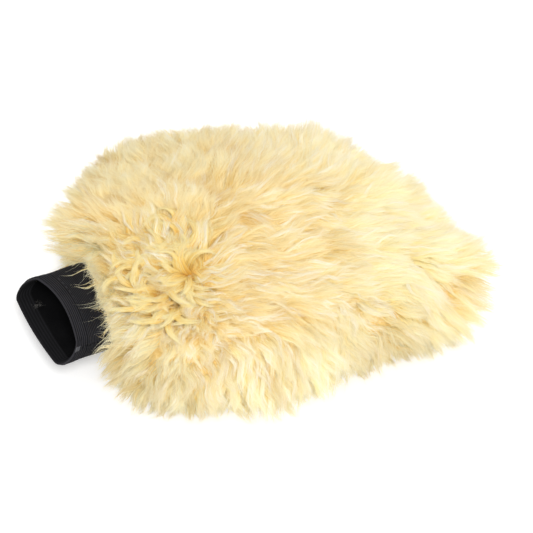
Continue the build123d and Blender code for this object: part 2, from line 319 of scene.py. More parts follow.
def tufts_of(plan, rng):
    """The tuft that each lock belongs to, as a number."""
    area = np.ptp(plan[:, 0]) * np.ptp(plan[:, 1])
    centres = plan[rng.permutation(len(plan))[: int(area / tuft_spacing**2)]]
    chosen = np.zeros(len(plan), int)
    for start in range(0, len(plan), 2000):
        gap = plan[start : start + 2000, None] - centres[None]
        chosen[start : start + 2000] = (gap**2).sum(2).argmin(1)
    return chosen, len(centres)


def lock_lines(count, side, rng):
    """Centre lines of the locks on one hide, and what they need to be filled with strands."""
    roots, normals, depth, out = skin_roots(count, side, rng)
    leans = lean_of(roots, depth, out, side, rng)
    plan = roots[:, :2]
    s, t = plan_coordinates(plan)
    tuft, tuft_count = tufts_of(plan, rng)
    behind = 1 - smooth(s, 50, 92)
    rim = 1 - smooth(depth / MM, 0, 26)
    reach = reach_round(s, t)
    hang = rim * smooth(-t, 10, 50)
    crumple = smooth(s, -8, 8) * (1 - smooth(s, 58, 76)) * (1 - smooth(np.abs(t + 6), 28, 46))
    reach_in = np.where(reach > 0, rim, 1 - smooth(depth / MM, 12, 44))
    lengths = 40 - 10 * smooth(t, 40, 90) - 9 * behind * (1 - rim) - 6 * rim + 8 * hang + reach * reach_in
    lengths = np.maximum(lengths, 20)
    tall, short = beside_mouth(plan, 8 * MM, 38 * MM), beside_mouth(plan, 2 * MM, 12 * MM)
    lengths *= 1 - 0.10 * tall - 0.20 * short
    if side < 0:
        lengths = 22.0 + 8 * rim + 0.8 * reach * rim
    uneven = rng.normal(0, 0.10, tuft_count)[tuft] + rng.normal(0, 0.06, count)
    uneven = np.clip(uneven, -0.3, 0.14) * (1 - 0.5 * rim)
    lengths = lengths * (1 + 0.08 * waves(plan, 24 * MM, 8) * (1 - 0.4 * rim) + uneven) * MM
    droop = np.where(side > 0, 0.05 + 0.95 * hang, 0.0)
    lines = grow(roots, normals, leans, lengths, droop)
    sideways = unit(np.cross(leans, normals) + 1e-6)
    u = np.linspace(0, 1, strand_steps)
    phase = 2.6 * waves(plan, 30 * MM, 9) + rng.normal(0, 0.8, tuft_count)[tuft]
    phase += rng.normal(0, 0.35, count)
    curly = smooth(-t, -10, 30) * smooth(s, 50, 80) * (1 - smooth(s, 150, 200))
    size = 1.9 + 1.0 * behind * (1 - rim) + 1.6 * crumple + 0.9 * curly
    size = (size + np.minimum(rng.exponential(0.8, count), 3)) * MM
    turns = 1.25 + 0.25 * behind * (1 - rim) + 0.3 * crumple + 0.25 * waves(plan, 30 * MM, 10)
    wave = np.sin(2 * math.pi * turns[:, None] * u + phase[:, None]) - np.sin(phase)[:, None]
    lines += sideways[:, None] * (wave * size[:, None] * smooth(u, 0, 0.7))[:, :, None]
    members = np.bincount(tuft, minlength=tuft_count)
    middle = np.zeros((tuft_count, strand_steps, 3))
    np.add.at(middle, tuft, lines)
    middle /= np.maximum(members, 1)[:, None, None]
    fan = np.maximum(smooth(t, 44, 80), 0.7 * rim)
    pull = np.clip(rng.normal(0.42, 0.14, tuft_count)[tuft] + 0.30 * crumple - 0.34 * fan, 0.05, 0.85)
    lines += (middle[tuft] - lines) * (pull[:, None] * smooth(u, 0.1, 1.0)[None])[:, :, None]
    far_left = smooth(t, 15, 50) * (1 - smooth(s, 60, 120))
    # A few strands lie a little above the rest and are whiter: a painted highlight.
    painted_highlight = (rng.uniform(0, 1, count) < 0.11 + 0.07 * curly - 0.08 * far_left) & (side > 0)
    lines[painted_highlight, :, 2] += 1.6 * MM * u
    gather = np.clip(rng.normal(0.62, 0.15, count) + 0.15 * crumple - 0.30 * fan, 0.1, 0.9)
    return {
        "lines": lines, "normals": normals, "s": s, "t": t, "rim": rim, "painted_highlight": painted_highlight,
        "gather": np.where(painted_highlight, np.maximum(gather, 0.80 - 0.3 * fan), gather),
        "tone": 0.9 * rng.normal(0, 1, tuft_count)[tuft] + 0.7 * rng.normal(0, 1, count),
        "side": np.full(count, float(side)), "fan": fan, "crumple": crumple, "hang": hang,
    }


def strands_of(locks, each, rng, radius=lock_radius, uneven=0.10):
    """The strands that fill each lock: their centre lines, each one's lock, and the way each faces."""
    count = len(locks["lines"])
    owner = np.repeat(np.arange(count), each)
    total = len(owner)
    normal = locks["normals"][owner]
    first = unit(np.cross(normal, np.array([0.31, 0.77, 0.55])))
    second = np.cross(normal, first)
    angle = rng.uniform(0, 2 * math.pi, total)
    reach = radius * np.sqrt(rng.uniform(0, 1, total)) * 1.25
    offset = (np.cos(angle) * reach)[:, None] * first + (np.sin(angle) * reach)[:, None] * second
    offset -= normal * (0.8 * MM)
    u = np.linspace(0, 1, strand_steps)
    share = np.clip(rng.normal(0.92, uneven, total), 0.45, 1.06)
    lines = locks["lines"][owner]
    at = share[:, None] * u[None] * (strand_steps - 1)
    low = np.clip(at.astype(int), 0, strand_steps - 2)
    rest = (at - low)[:, :, None]
    rows = np.arange(total)[:, None]
    lines = lines[rows, low] * (1 - rest) + lines[rows, low + 1] * rest
    gather = locks["gather"][owner] * rng.uniform(0.7, 1.05, total)
    kept = 1 - gather[:, None] * smooth(u, 0.05, 0.95)[None]
    lines += offset[:, None] * kept[:, :, None]
    frizz = rng.normal(0, 0.45 * MM, (total, 3))
    frizz_turn = rng.uniform(0, 2 * math.pi, (total, 1))
    frizz_rate = rng.uniform(1.0, 2.4, (total, 1))
    ripple = np.sin(2 * math.pi * frizz_rate * u[None] + frizz_turn) * u[None]
    lines += frizz[:, None] * ripple[:, :, None]
    stray = rng.uniform(0, 1, total) < 0.08 + 0.10 * locks["fan"][owner]
    lines[stray] += (rng.normal(0, 2.2 * MM, (stray.sum(), 3))[:, None] * (u**2)[None, :, None])
    lines = hold_in_box(lines)
    lowest = floor_gap + strand_radius + rng.uniform(0, 1.2 * MM, (total, 1)) * u
    lines[:, :, 2] = np.maximum(lines[:, :, 2], lowest)
    upwards = locks["side"][owner][:, None] * np.array([0, 0, 1.0])
    facing = unit(0.35 * normal + 0.5 * unit(offset) + 1.4 * upwards)
    flat_to = unit(0.35 * normal + upwards)
    return lines, owner, facing, flat_to


def hold_in_box(lines):
    """Shortens the strands that would reach further than fabric may stand out of the solid model's box."""
    low, high = (np.array(v) for v in cad_bounds)
    room = 0.03 * (high - low) + 8.5 * MM
    for axis in range(3):
        root = lines[:, :1, axis]
        away = lines[:, :, axis] - root
        past_high = (away / np.maximum(high[axis] + room[axis] - root, 1e-6)).max(1)
        past_low = (-away / np.maximum(root - low[axis] + room[axis], 1e-6)).max(1)
        past = np.maximum(np.maximum(past_high, past_low), 1.0)
        lines[:, :, axis] = root + away / past[:, None]
    return lines


def part_at_cuff(lines, normals, rng):
    """The wool ends at the cuff: strands that would reach far over it are short."""
    root, tip_y = lines[:, :1], lines[:, -1, 1]
    edge = mouth[0] - 5 * MM - 0.12 * np.abs(tip_y - 18 * MM) - rng.exponential(1.8 * MM, len(lines))
    near_cuff = (np.abs(tip_y - cuff_middle_y + 9 * MM) < cuff_half_width + 5 * MM) & (normals[:, 2] > 0)
    reach = root[:, 0, 0] - lines[:, :, 0].min(1)
    keep = np.clip((root[:, 0, 0] - edge) / np.maximum(reach, 1e-6), 0.35, 1)
    keep = np.where(near_cuff, keep, 1)
    lines = root + (lines - root) * keep[:, None, None]
    x, y, z = lines[:, :, 0], lines[:, :, 1], lines[:, :, 2]
    beside = np.abs(y - cuff_middle_y) < cuff_half_width + 1.5 * MM
    outside = (x < cuff_high[0] + 4 * MM) & beside
    over = lines[:, :1, 2] > mouth[2]
    z[:] = np.where(outside & over, np.maximum(z, over_cuff(x, y)), z)
    reach = np.maximum(mouth[0] - x, 0)
    below = cuff_low[2] - 3.5 * MM - math.tan(swing) * reach - 0.06 * reach
    z[:] = np.where(outside & ~over, np.minimum(z, below), z)
    return lines


def over_cuff(x, y):
    """The height at which loose wool lies on the cuff's upper ply."""
    wide = np.clip((y - cuff_middle_y) / cuff_half_width, -1, 1)
    share = np.clip((x - upper_rim_x) / upper_length, 0, 1)
    in_fold = np.clip((np.abs(y - cuff_middle_y) - cuff_half_width + fold) / fold, 0, 1)
    arch = ply_arch * (1 - wide**2) * (1 - 0.85 * share)
    return cuff_middle_z + fold * np.sqrt(1 - 0.9 * in_fold**2) + arch + 0.9 * MM


def strand_mesh(name, lines, radii, tone, family, facing, flat_to, roll):
    """One mesh of flat tapering strands, each turned broadly to flat_to and rolled a little its own way.

    Its OFBake map holds a strand's tone along U and, in a row for each family, the way from its root to
    its tip along V.
    """
    count, steps, _ = lines.shape
    rings = steps - 1
    tangent = unit(np.gradient(lines, axis=1))[:, :rings]
    flat = np.cross(unit(lines[:, -1] - lines[:, 0]), flat_to)[:, None]
    flat = unit(flat - tangent * (flat * tangent).sum(2, keepdims=True))
    side = np.cos(roll)[:, None, None] * flat + np.sin(roll)[:, None, None] * np.cross(flat, tangent)
    reach = side * radii[:, :rings, None]
    pairs = np.stack([lines[:, :rings] - reach, lines[:, :rings] + reach], 2)
    points = np.concatenate([pairs.reshape(count, rings * 2, 3), lines[:, -1:]], 1)
    per = rings * 2 + 1
    ways = np.arange(steps) / (steps - 1)
    corners, pattern = [], []
    for k in range(rings - 1):
        corners += [2 * k, 2 * k + 1, 2 * k + 3, 2 * k + 2]
        pattern += [[0, ways[k]], [1, ways[k]], [1, ways[k + 1]], [0, ways[k + 1]]]
    corners += [2 * rings - 2, 2 * rings - 1, 2 * rings]
    pattern += [[0, ways[-2]], [1, ways[-2]], [0.5, 1.0]]
    loops = (np.array(corners)[None] + (np.arange(count) * per)[:, None]).ravel()
    sizes = np.tile(np.r_[np.full(rings - 1, 4), 3], count)
    mesh = bpy.data.meshes.new(name)
    mesh.vertices.add(count * per)
    mesh.vertices.foreach_set("co", points.astype(np.float32).ravel())
    mesh.loops.add(len(loops))
    mesh.loops.foreach_set("vertex_index", loops.astype(np.int32))
    mesh.polygons.add(len(sizes))
    mesh.polygons.foreach_set("loop_start", np.r_[0, np.cumsum(sizes)[:-1]].astype(np.int32))
    mesh.polygons.foreach_set("use_smooth", np.ones(len(sizes), bool))
    mesh.update(calc_edges=True)
    pattern = np.array(pattern)
    strip = 0.005
    u = 0.01 + (0.98 - strip) * tone[:, None] + strip * pattern[None, :, 0]
    v = (family[:, None] + 0.06 + 0.88 * pattern[None, :, 1]) / len(strand_families)
    uv = mesh.uv_layers.new(name="OFBake")
    uv.data.foreach_set("uv", np.stack([u, v], 2).astype(np.float32).ravel())
    round_off = 0.45 * np.stack([-side, side], 2)
    soft = unit(facing[:, None, None] + round_off).reshape(count, rings * 2, 3)
    soft = np.concatenate([soft, facing[:, None]], 1)
    mesh.normals_split_custom_set_from_vertices(soft.reshape(-1, 3).astype(np.float32))
    obj = bpy.data.objects.new(name, mesh)
    bpy.context.scene.collection.objects.link(obj)
    return obj


def strand_radii(count, rng):
    """Each strand's radius at its points: even for most of its way, and fine at the tip."""
    u = np.linspace(0, 1, strand_steps)
    taper = 1 - 0.85 * smooth(u, 0.35, 1.0)
    return strand_radius * rng.uniform(0.7, 1.3, (count, 1)) * taper[None]


def make_wool(material):
    """The locks on the back and on the palm, as pieces that ride on the mitt or, by the mouth, stay where
    they are.
    """
    rng = np.random.default_rng(11)
    back = lock_lines(lock_count_back, 1, rng)
    palm = lock_lines(lock_count_palm, -1, rng)
    for locks, node, label in ((back, "upper_fleece", "wool_back"), (palm, "lower_fleece", "wool_palm")):
        lines, owner, facing, flat_to = strands_of(locks, strands_per_lock, rng)
        lines = part_at_cuff(lines, locks["normals"][owner], rng)
        total = len(lines)
        radii = strand_radii(total, rng)
        roll = np.clip(rng.normal(0, 0.3, total), -0.6, 0.6)
        s, t = locks["s"][owner], locks["t"][owner]
        # The hanging wool's low left and right ends, marked here, are painted shade.
        shaded_low_left = locks["hang"][owner] * (1 - smooth(s, 30, 84))
        shaded_low_right = locks["hang"][owner] * smooth(s, 130, 170)
        even = smooth(s, 90, 160)
        tone = (0.19 * locks["tone"][owner] + rng.normal(0, 0.13, total)) * (1 - 0.45 * even)
        # The hanging wool on the near side is painted lighter, painted light that lifts its shade, and
        # towards its low left and right ends painted darker, as painted shade.
        tone += 0.5 + 0.05 * even + 0.2 * locks["hang"][owner] - 0.45 * shaded_low_left - 0.4 * shaded_low_right
        tone = np.clip(tone, 0, 1)
        pale = np.maximum(0.65 * locks["rim"][owner], 0.3 * locks["fan"][owner] * smooth(s, 40, 120))
        family = np.full(total, float(PLAIN))
        family[rng.uniform(0, 1, total) < smooth(s, 110, 200)] = GOLDEN
        family[rng.uniform(0, 1, total) < pale] = PALE
        beside_cuff = np.abs(lines[:, :, 1] - cuff_middle_y).min(1) < cuff_half_width + 2 * MM
        fringe = (lines[:, :, 0].min(1) < mouth[0]) & beside_cuff & (locks["side"][owner] > 0)
        crumple = locks["crumple"][owner] * (locks["side"][owner] > 0)
        family[rng.uniform(0, 1, total) < 0.9 * crumple] = CURLED
        # The deep family in the crumple is painted shade in its crevices.
        family[rng.uniform(0, 1, total) < 0.4 * crumple] = DEEP_SHADE
        # The hanging wool takes the paler golden family, painted lighter to lift its shade.
        family[rng.uniform(0, 1, total) < 0.8 * locks["hang"][owner]] = GOLDEN
        # Greyer strands at those low ends are painted shade.
        family[rng.uniform(0, 1, total) < 0.7 * shaded_low_left + 0.3 * shaded_low_right] = GREY
        # The lifted strands take the whiter family, a painted highlight.
        family[(rng.uniform(0, 1, total) < 0.85) & locks["painted_highlight"][owner]] = PAINTED_HIGHLIGHT
        # By the cuff, greyer strands are painted shade at that end.
        near_cuff = (1 - smooth(s, -6, 8)) * (1 - smooth(np.abs(t), 34, 50))
        family[rng.uniform(0, 1, total) < 0.5 * near_cuff] = GREY
        shades = rng.uniform(0, 1, total) < shadow_share + 0.14 * locks["crumple"][owner]
        groups = (
            ("", ~fringe & shades), ("_light", ~fringe & ~shades),
            ("_fringe", fringe & shades), ("_fringe_light", fringe & ~shades),
        )
        for group, chosen in groups:
            order = np.flatnonzero(chosen)
            for i, start in enumerate(range(0, len(order), strands_per_piece)):
                pick = order[start : start + strands_per_piece]
                name = f"{label}{group}_{i + 1}"
                looks = (a[pick] for a in (lines, radii, tone, family, facing, flat_to, roll))
                obj = strand_mesh(name, *looks)
                obj.visible_shadow = "_light" not in group
                obj.data.materials.append(material)
                if "_fringe" in group:
                    bend_at_mouth(obj, *fringe_bend)
                else:
                    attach(obj, "mitt")
                    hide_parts(node)


def bent_lines(start, heading, climb, bend, fall, length):
    """Centre lines that start at a heading and a climb in radians, and turn by bend and fall on the way."""
    count = len(start)
    points = np.zeros((count, strand_steps, 3))
    points[:, 0] = start
    step = length / (strand_steps - 1)
    for k in range(1, strand_steps):
        u = (k - 0.5) / (strand_steps - 1)
        turn, rise = heading + bend * u, climb - fall * u
        way = np.stack([np.cos(turn) * np.cos(rise), np.sin(turn) * np.cos(rise), np.sin(rise)], 1)
        points[:, k] = points[:, k - 1] + way * step[:, None]
    return points


def loose_locks(lines, gather, tone):
    """The notes that strands_of needs, for separate locks that stand on level skin."""
    count = len(lines)
    return {
        "lines": lines, "normals": np.tile([0, 0, 1.0], (count, 1)), "gather": np.full(count, gather),
        "tone": tone, "side": np.ones(count), "fan": np.zeros(count),
    }


def curl_locks(count, rng):
    """Thick curled locks round the parting, on the cuff's side of it."""
    angle = np.radians(rng.uniform(75, 290, count))
    away = rng.uniform(2, 44, count) * MM
    middle = mouth[:2] + (along * swirl_s + across * swirl_t) * MM
    plan = middle + (np.cos(angle) * away)[:, None] * along + (np.sin(angle) * away)[:, None] * across
    start = np.column_stack([plan, np.full(count, back_top + 16 * MM)])
    heading = angle + math.atan2(along[1], along[0]) + rng.normal(0, 0.6, count)
    bend = rng.choice([-1, 1], count) * rng.uniform(1.2, 3.0, count)
    length = rng.uniform(20, 32, count) * MM
    lines = bent_lines(start, heading - 0.3 * bend, np.full(count, 1.0), bend, np.full(count, 1.5), length)
    return loose_locks(lines, 0.6, rng.normal(0.6, 0.7, count))


def neck_locks(count, rng):
    """Short locks on the top of the hide's neck, which hang a little over its edge."""
    plan = np.column_stack([
        rng.uniform(node_box("upper_hide")[0][0] + 0.4 * MM, mouth[0] + 3 * MM, count),
        cuff_middle_y + rng.uniform(-1, 1, count) * (cuff_half_width - 4 * MM),
    ])
    start = np.column_stack([plan, np.full(count, cuff_high[2] + 5 * MM)])
    heading = math.pi + rng.normal(0, 0.75, count) - 0.012 * (plan[:, 1] - cuff_middle_y) / MM
    climb = rng.uniform(0.6, 1.4, count)
    fall = rng.uniform(0.9, 1.7, count)
    length = rng.uniform(8, 14, count) * MM
    lines = bent_lines(start, heading, climb, rng.normal(0, 0.7, count), fall, length)
    return loose_locks(lines, 0.35, rng.normal(0.3, 0.7, count))


def collar_locks(count, rng):
    """Short locks round the sides and the underside of the hide's neck, which hide its bare edge."""
    turn = rng.uniform(-1.12 * math.pi, 0.12 * math.pi, count)
    y, z = np.cos(turn), np.sin(turn)
    y, z = np.sign(y) * np.abs(y) ** 0.35, np.sign(z) * np.abs(z) ** 0.6
    out = unit(np.column_stack([0 * y, np.sign(y) * np.abs(y) ** 14, np.sign(z) * z**2 + 1e-3]))
    start = np.column_stack([
        rng.uniform(node_box("upper_hide")[0][0] + 0.5 * MM, mouth[0] + 4 * MM, count),
        cuff_middle_y + y * (cuff_half_width + 1.5 * MM),
        cuff_middle_z + z * (cuff_half_height + 4.5 * MM),
    ])
    lie = unit(np.array([-1.0, 0, 0]) + 0.25 * out + rng.normal(0, 0.28, (count, 3)) * [0, 1, 0.4])
    lines = grow(start, out, lie, rng.uniform(9, 15, count) * MM, np.zeros(count))
    locks = loose_locks(lines, 0.35, rng.normal(0, 0.8, count))
    locks["normals"] = out
    locks["side"] = np.where(out[:, 2] < 0, -1.0, 0.2)
    return locks


def edge_locks(count, rng):
    """Locks all round the mitt's side, which hang outwards over its lower edge."""
    pick = rng.integers(0, len(outline.points), 2 * count)
    plan, out = outline.points[pick], outline.normals[pick]
    aside = np.abs(plan[:, 1] - cuff_middle_y) > cuff_half_width + 5 * MM
    clear = (plan[:, 0] > mouth[0] + 2 * MM) | aside
    plan, out = plan[clear][:count], out[clear][:count]
    count = len(plan)
    high = 1 - rng.uniform(0, 1, count) ** 1.25     # a few more of them start high than low
    height = palm_bottom - 3 * MM + high * (back_top + 3 * MM - palm_bottom)
    inset = 4 * MM + 7 * MM * smooth(high, 0.6, 1.0)
    start = np.column_stack([plan + out * (undercoat_side - inset)[:, None], height])
    lie = unit(out + (0.35 + rng.normal(0, 0.3, count))[:, None] * along)
    heading = np.arctan2(lie[:, 1], lie[:, 0])
    climb, fall = 0.35 * high + rng.normal(0, 0.2, count), 0.7 + 1.0 * high
    length = 19 + 5 * high + 0.45 * reach_round(*plan_coordinates(plan)) + rng.normal(0, 2.2, count)
    length = np.maximum(length, 8) * MM
    lines = bent_lines(start, heading, climb, rng.normal(0, 0.5, count), fall, length)
    locks = loose_locks(lines, 0.4, rng.normal(0, 0.8, count))
    locks["normals"] = np.column_stack([out, np.zeros(count)])
    return locks


# Wisps that fall over the cuff, in millimetres: where each leaves the wool, past the mouth and across the
# cuff, and where its tip lies.
wisps = (
    ((4, 30), (-20.4, 38)), ((0, 36), (-16.15, 44)), ((-2, 40), (-11.9, 41)), ((5, 24), (-5.1, 3)),
    ((4, 28), (-9.35, 14)), ((3, 18), (-2.55, 4)), ((0, -2), (-10.2, -10)), ((-1, -8), (-7.65, -20)),
    ((-3, -17), (-17.85, -8)), ((-1, -26), (-18.7, -29)), ((-2, -33), (-14.45, -36)),
    ((-3, -40), (-11.05, -53)), ((-4, -44), (-6.8, -56)),
)


def wisp_lines(rng, each=34):
    """Thin separate strands that leave the wool together and fan out on the cuff."""
    u = np.linspace(0, 1, strand_steps)[None, :, None]
    origin = np.array([mouth[0], cuff_middle_y])
    groups = []
    for root, end in wisps:
        root = origin + np.array(root) * MM + rng.normal(0, 2.6 * MM, (each, 1, 2))
        end = origin + np.array(end) * MM + rng.normal(0, 3.4 * MM, (each, 1, 2))
        reach = np.clip(rng.normal(0.80, 0.28, (each, 1, 1)), 0.3, 1.25)
        side = unit(end - root)[:, :, ::-1] * np.array([1, -1])
        arc = rng.normal(0, 1.0) + rng.normal(0, 0.5, (each, 1, 1))
        curl = rng.normal(0, 2.0 * MM, (each, 1, 1))
        plan = root + (end - root) * u * reach
        plan = plan + side * (np.sin(math.pi * u) * arc * 1.8 * MM + (u * reach) ** 3 * curl)
        rest = over_cuff(plan[:, :, 0], plan[:, :, 1]) + rng.uniform(0.3, 3.0, (each, 1)) * MM
        height = rest + (1 - smooth(u[:, :, 0], 0.0, 0.8)) * rng.uniform(11, 17, (each, 1)) * MM
        groups.append(np.concatenate([plan, height[:, :, None]], 2))
    return np.concatenate(groups)


def fluff_lines(rng, count=44):
    """A small tangle of loose wool caught inside the cuff, on its lower ply."""
    around = 3 * quarter + ply_width + 11 * MM + rng.normal(0, 1.1 * MM, count)
    start = on_cuff(around, 8.5 * MM + rng.normal(0, 1.5 * MM, count), -band_wall - 0.9 * MM)
    heading = rng.uniform(0, 2 * math.pi, count)
    bend = rng.normal(0, 3, count)
    climb = rng.uniform(0, 0.8, count)
    fall = rng.uniform(0, 1.2, count)
    return bent_lines(start, heading, climb, bend, fall, rng.uniform(1.5, 4, count) * MM)


def make_loose_wool(material, caught):
    """The curled locks, those by the mouth and the side, the wisps over the cuff and the fluff in it."""
    rng = np.random.default_rng(23)

    def make(name, lines, facing, radius, tone, family, finish=material):
        total = len(lines)
        flat_to = np.tile([0, 0, 1.0], (total, 1))
        facing = flat_to if facing is None else facing
        roll = np.clip(rng.normal(0, 0.3, total), -0.6, 0.6)
        family = np.zeros(total) + family
        radii = strand_radii(total, rng) * radius
        obj = strand_mesh(name, lines, radii, np.clip(tone, 0, 1), family, facing, flat_to, roll)
        obj.data.materials.append(finish)
        return obj

    for label, locks, each, radius, families in (
        ("wool_curls", curl_locks(84, rng), 56, 2.6 * MM, (CURLED, CURLED, PLAIN)),
        ("wool_by_mouth", neck_locks(240, rng), 30, 1.9 * MM, (PLAIN, GOLDEN, PALE)),
        ("wool_edge", edge_locks(2500, rng), 14, 2.6 * MM, (GOLDEN, PALE, GREY)),
        ("wool_collar", collar_locks(330, rng), 22, 2.2 * MM, (PLAIN, GOLDEN, GREY)),
    ):
        lines, owner, facing, _ = strands_of(locks, each, rng, radius=radius, uneven=0.2)
        lines = part_at_cuff(lines, locks["normals"][owner], rng)
        tone = 0.6 + 0.2 * locks["tone"][owner] + rng.normal(0, 0.22, len(lines))
        family = np.array(families)[rng.integers(0, 3, len(lines))]
        shades = np.arange(len(lines)) % 10 < (1 if label == "wool_edge" else 4)
        for group, chosen in (("", np.flatnonzero(shades)), ("_light", np.flatnonzero(~shades))):
            for i, start in enumerate(range(0, len(chosen), strands_per_piece)):
                pick = chosen[start : start + strands_per_piece]
                looks = (lines[pick], facing[pick], 1.0, tone[pick], family[pick])
                obj = make(f"{label}{group}_{i + 1}", *looks)
                obj.visible_shadow = group == ""
                if label == "wool_by_mouth":
                    bend_at_mouth(obj, *fringe_bend)
                else:
                    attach(obj, "mitt")
                    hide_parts("upper_fleece")
    lines = wisp_lines(rng)
    obj = make("wool_wisps", lines, None, 0.52, rng.uniform(0.7, 1.0, len(lines)), GREY)
    obj.visible_shadow = False
    bend_at_mouth(obj, *fringe_bend)
    lines = fluff_lines(rng)
    obj = make("wool_fluff_in_cuff", lines, None, 0.32, rng.uniform(0, 0.5, len(lines)), GREY, caught)
    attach(obj, "cuff")


def make_undercoat(material):
    """Matted wool close to the skin, as one shell round both hides that is open at the mouth."""
    centre = outline.points.mean(0)
    rim = outline.points[::2] + outline.normals[::2] * undercoat_side
    shares = 1 - np.linspace(0, 1, 34) ** 1.7
    back_height, palm_height = back_top + undercoat_over, palm_bottom - undercoat_under
    rows = []
    for side, peak, curve, thick in (
        (1, back_height, 20 * MM, undercoat_over),
        (-1, palm_height, 14 * MM, undercoat_under),
    ):
        for share in shares[::-1] if side > 0 else shares:
            plan = centre + (rim - centre) * share
            depth, _ = outline.inside(plan)
            fall = np.clip(1 - (depth + undercoat_side) / curve, 0, 1)
            height = peak - side * curve * (1 - np.sqrt(1 - fall**2))
            at_mouth = beside_mouth(plan, 2 * MM, 20 * MM)
            height -= side * at_mouth * (thick + 2 * MM)
            back_to = mouth[0] + (8 * at_mouth - 20 * (at_mouth < 0.02)) * MM
            plan[:, 0] = np.maximum(plan[:, 0], back_to)
            lumps = 0.9 * MM * (waves(plan, 9 * MM, 21) + waves(plan, 5 * MM, 22))
            rows.append(np.column_stack([plan, height + lumps * (1 - fall)]))
    rows = np.array(rows[1:-1])
    levels, around = rows.shape[:2]
    points = [tuple(p) for p in rows.reshape(-1, 3)]
    top, bottom = len(points), len(points) + 1
    points += [(*centre, back_height), (*centre, palm_height)]
    faces = []
    for i in range(around):
        n = (i + 1) % around
        faces.append((top, i, n))
        for low in range(0, (levels - 1) * around, around):
            faces.append((low + i, low + around + i, low + around + n, low + n))
        faces.append((bottom, (levels - 1) * around + n, (levels - 1) * around + i))

    def in_mouth(face):
        middle = np.mean([points[i] for i in face], axis=0)
        level = abs(middle[2] - mouth[2]) < cuff_half_height + 5 * MM
        aside = abs(middle[1] - cuff_middle_y)
        return middle[0] < mouth[0] + 12 * MM and level and aside < cuff_half_width + 1.0 * MM

    obj = mesh_object("wool_undercoat", points, [f for f in faces if not in_mouth(f)], material)
    shell = obj.modifiers.new("thickness", "SOLIDIFY")
    shell.thickness = 3 * MM
    shell.offset = -1
    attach(obj, "mitt")
    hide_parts("upper_fleece", "lower_fleece")


# ---- cuff ----
band = node_points("cuff_band")
upper_rim_x = band[band[:, 2] > cuff_high[2] - 0.5 * MM][:, 0].min()
lower_rim_x = cuff_low[0]
inner_end_x = cuff_high[0]
upper_length = inner_end_x - upper_rim_x
fold = cuff_half_height
ply_width = 2 * (cuff_half_width - fold)
quarter = math.pi * fold / 2
girth = 4 * quarter + 2 * ply_width
seam_at = fold * math.radians(seam_angle)


def on_cuff(around, back, lift):
    """Points on the cuff. around runs from the middle of the near fold, up over the upper ply and round.

    back is the distance from the rim as it is on the upper ply, and lift the height off the band's outside.
    """
    around, back, lift = np.broadcast_arrays(around % girth, back, lift)
    edges = np.cumsum([quarter, ply_width, 2 * quarter, ply_width])
    parts = [around < e for e in edges]
    side = cuff_half_width - fold
    far_fold, near_fold = quarter + around - edges[1], around - edges[3] + 3 * quarter
    turn = np.select(parts, [around, quarter, far_fold, 3 * quarter], near_fold) / fold
    centre = np.select(parts, [-side, around - edges[0] - side, side, side - (around - edges[2])], -side)
    out_y, out_z = -np.cos(turn), np.sin(turn)
    y = centre + (fold + lift) * out_y
    z = (fold + lift) * out_z
    wide = (centre + fold * out_y) / cuff_half_width
    rim = lower_rim_x + (upper_rim_x - lower_rim_x) * (0.5 + 0.5 * out_z) - rim_skew * wide
    share = back / upper_length
    middle = np.clip(1 - wide**2, 0, 1)
    rim = rim + middle * np.where(out_z > 0, 7.0 * MM, 2.5 * MM) * out_z
    x = rim + (inner_end_x - rim) * share
    bow = middle * (1 - 0.85 * np.clip(share, 0, 1))
    z = z + bow * np.where(out_z > 0, ply_arch, 0.08 * ply_arch) * out_z
    return np.stack([x, cuff_middle_y + y, cuff_middle_z + z], -1)


def rib_profile(back, around):
    """Height of the band's face: coarse selvedge ribs, then fine ones, and the lips of the closing seam."""
    back, around = np.broadcast_arrays(back, around)
    coarse = back < selvedge_width
    run = np.where(coarse, back / selvedge_pitch, (back - selvedge_width) / rib_pitch)
    ridge = np.abs(np.sin(math.pi * run)) ** 0.7
    plan = np.stack([back, around], -1).reshape(-1, 2)
    uneven = (1 + 0.18 * waves(plan, 5 * MM, 31)).reshape(ridge.shape)
    height = ridge * uneven * np.where(coarse, selvedge_height, rib_height) * smooth(back, 0, 1.2 * MM)
    soft = 0.22 * MM * waves(plan, 26 * MM, 32).reshape(ridge.shape)
    from_seam = np.abs(around - seam_at) / MM
    lips = 0.42 * np.exp(-(((from_seam - 1.0) / 0.55) ** 2)) - 0.75 * np.exp(-((from_seam / 0.34) ** 2))
    return height + soft + lips * MM


def sleeve_v(v):
    """Keeps a sleeve's map inside its borders."""
    return 0.01 + 0.97 * v


def sleeve_mesh(name, rows, columns, material):
    """A closed sleeve from rows of (back, lift, out, v), from its outer face over the rim to its inner face.

    out is how far the row stands out of the rim, and v its place in the sleeve's map.
    """
    back, lift, out, v = (np.array(c)[:, None] for c in zip(*rows))
    points = on_cuff(columns[None], back, lift)
    points[:, :, 0] -= out
    levels, around = points.shape[:2]
    k, i = (g.ravel() for g in np.meshgrid(np.arange(levels), np.arange(around), indexing="ij"))
    n, m = (i + 1) % around, (k + 1) % levels
    faces = np.stack([k * around + i, k * around + n, m * around + n, m * around + i], 1)
    obj = mesh_object(name, points.reshape(-1, 3).tolist(), faces.tolist(), material)
    across_u = np.r_[columns, columns[0] + girth] / girth
    rows_v = sleeve_v(np.r_[v[:, 0], v[-1, 0] + 0.01])
    across_u = sleeve_v(across_u)
    u0, u1, v0, v1 = across_u[i], across_u[i + 1], rows_v[k], rows_v[k + 1]
    uv = obj.data.uv_layers.new(name="OFBake")
    uv.data.foreach_set("uv", np.stack([u0, v0, u1, v0, u1, v1, u0, v1], 1).astype(np.float32).ravel())
    return obj


def cuff_columns(spacing):
    """Places round the cuff, closer together by the closing seam."""
    even = np.arange(0, girth, spacing)
    close = seam_at + np.arange(-2.4, 2.41, 0.2) * MM
    even = even[np.abs(even - seam_at) > 2.5 * MM]
    return np.sort(np.r_[even, close])


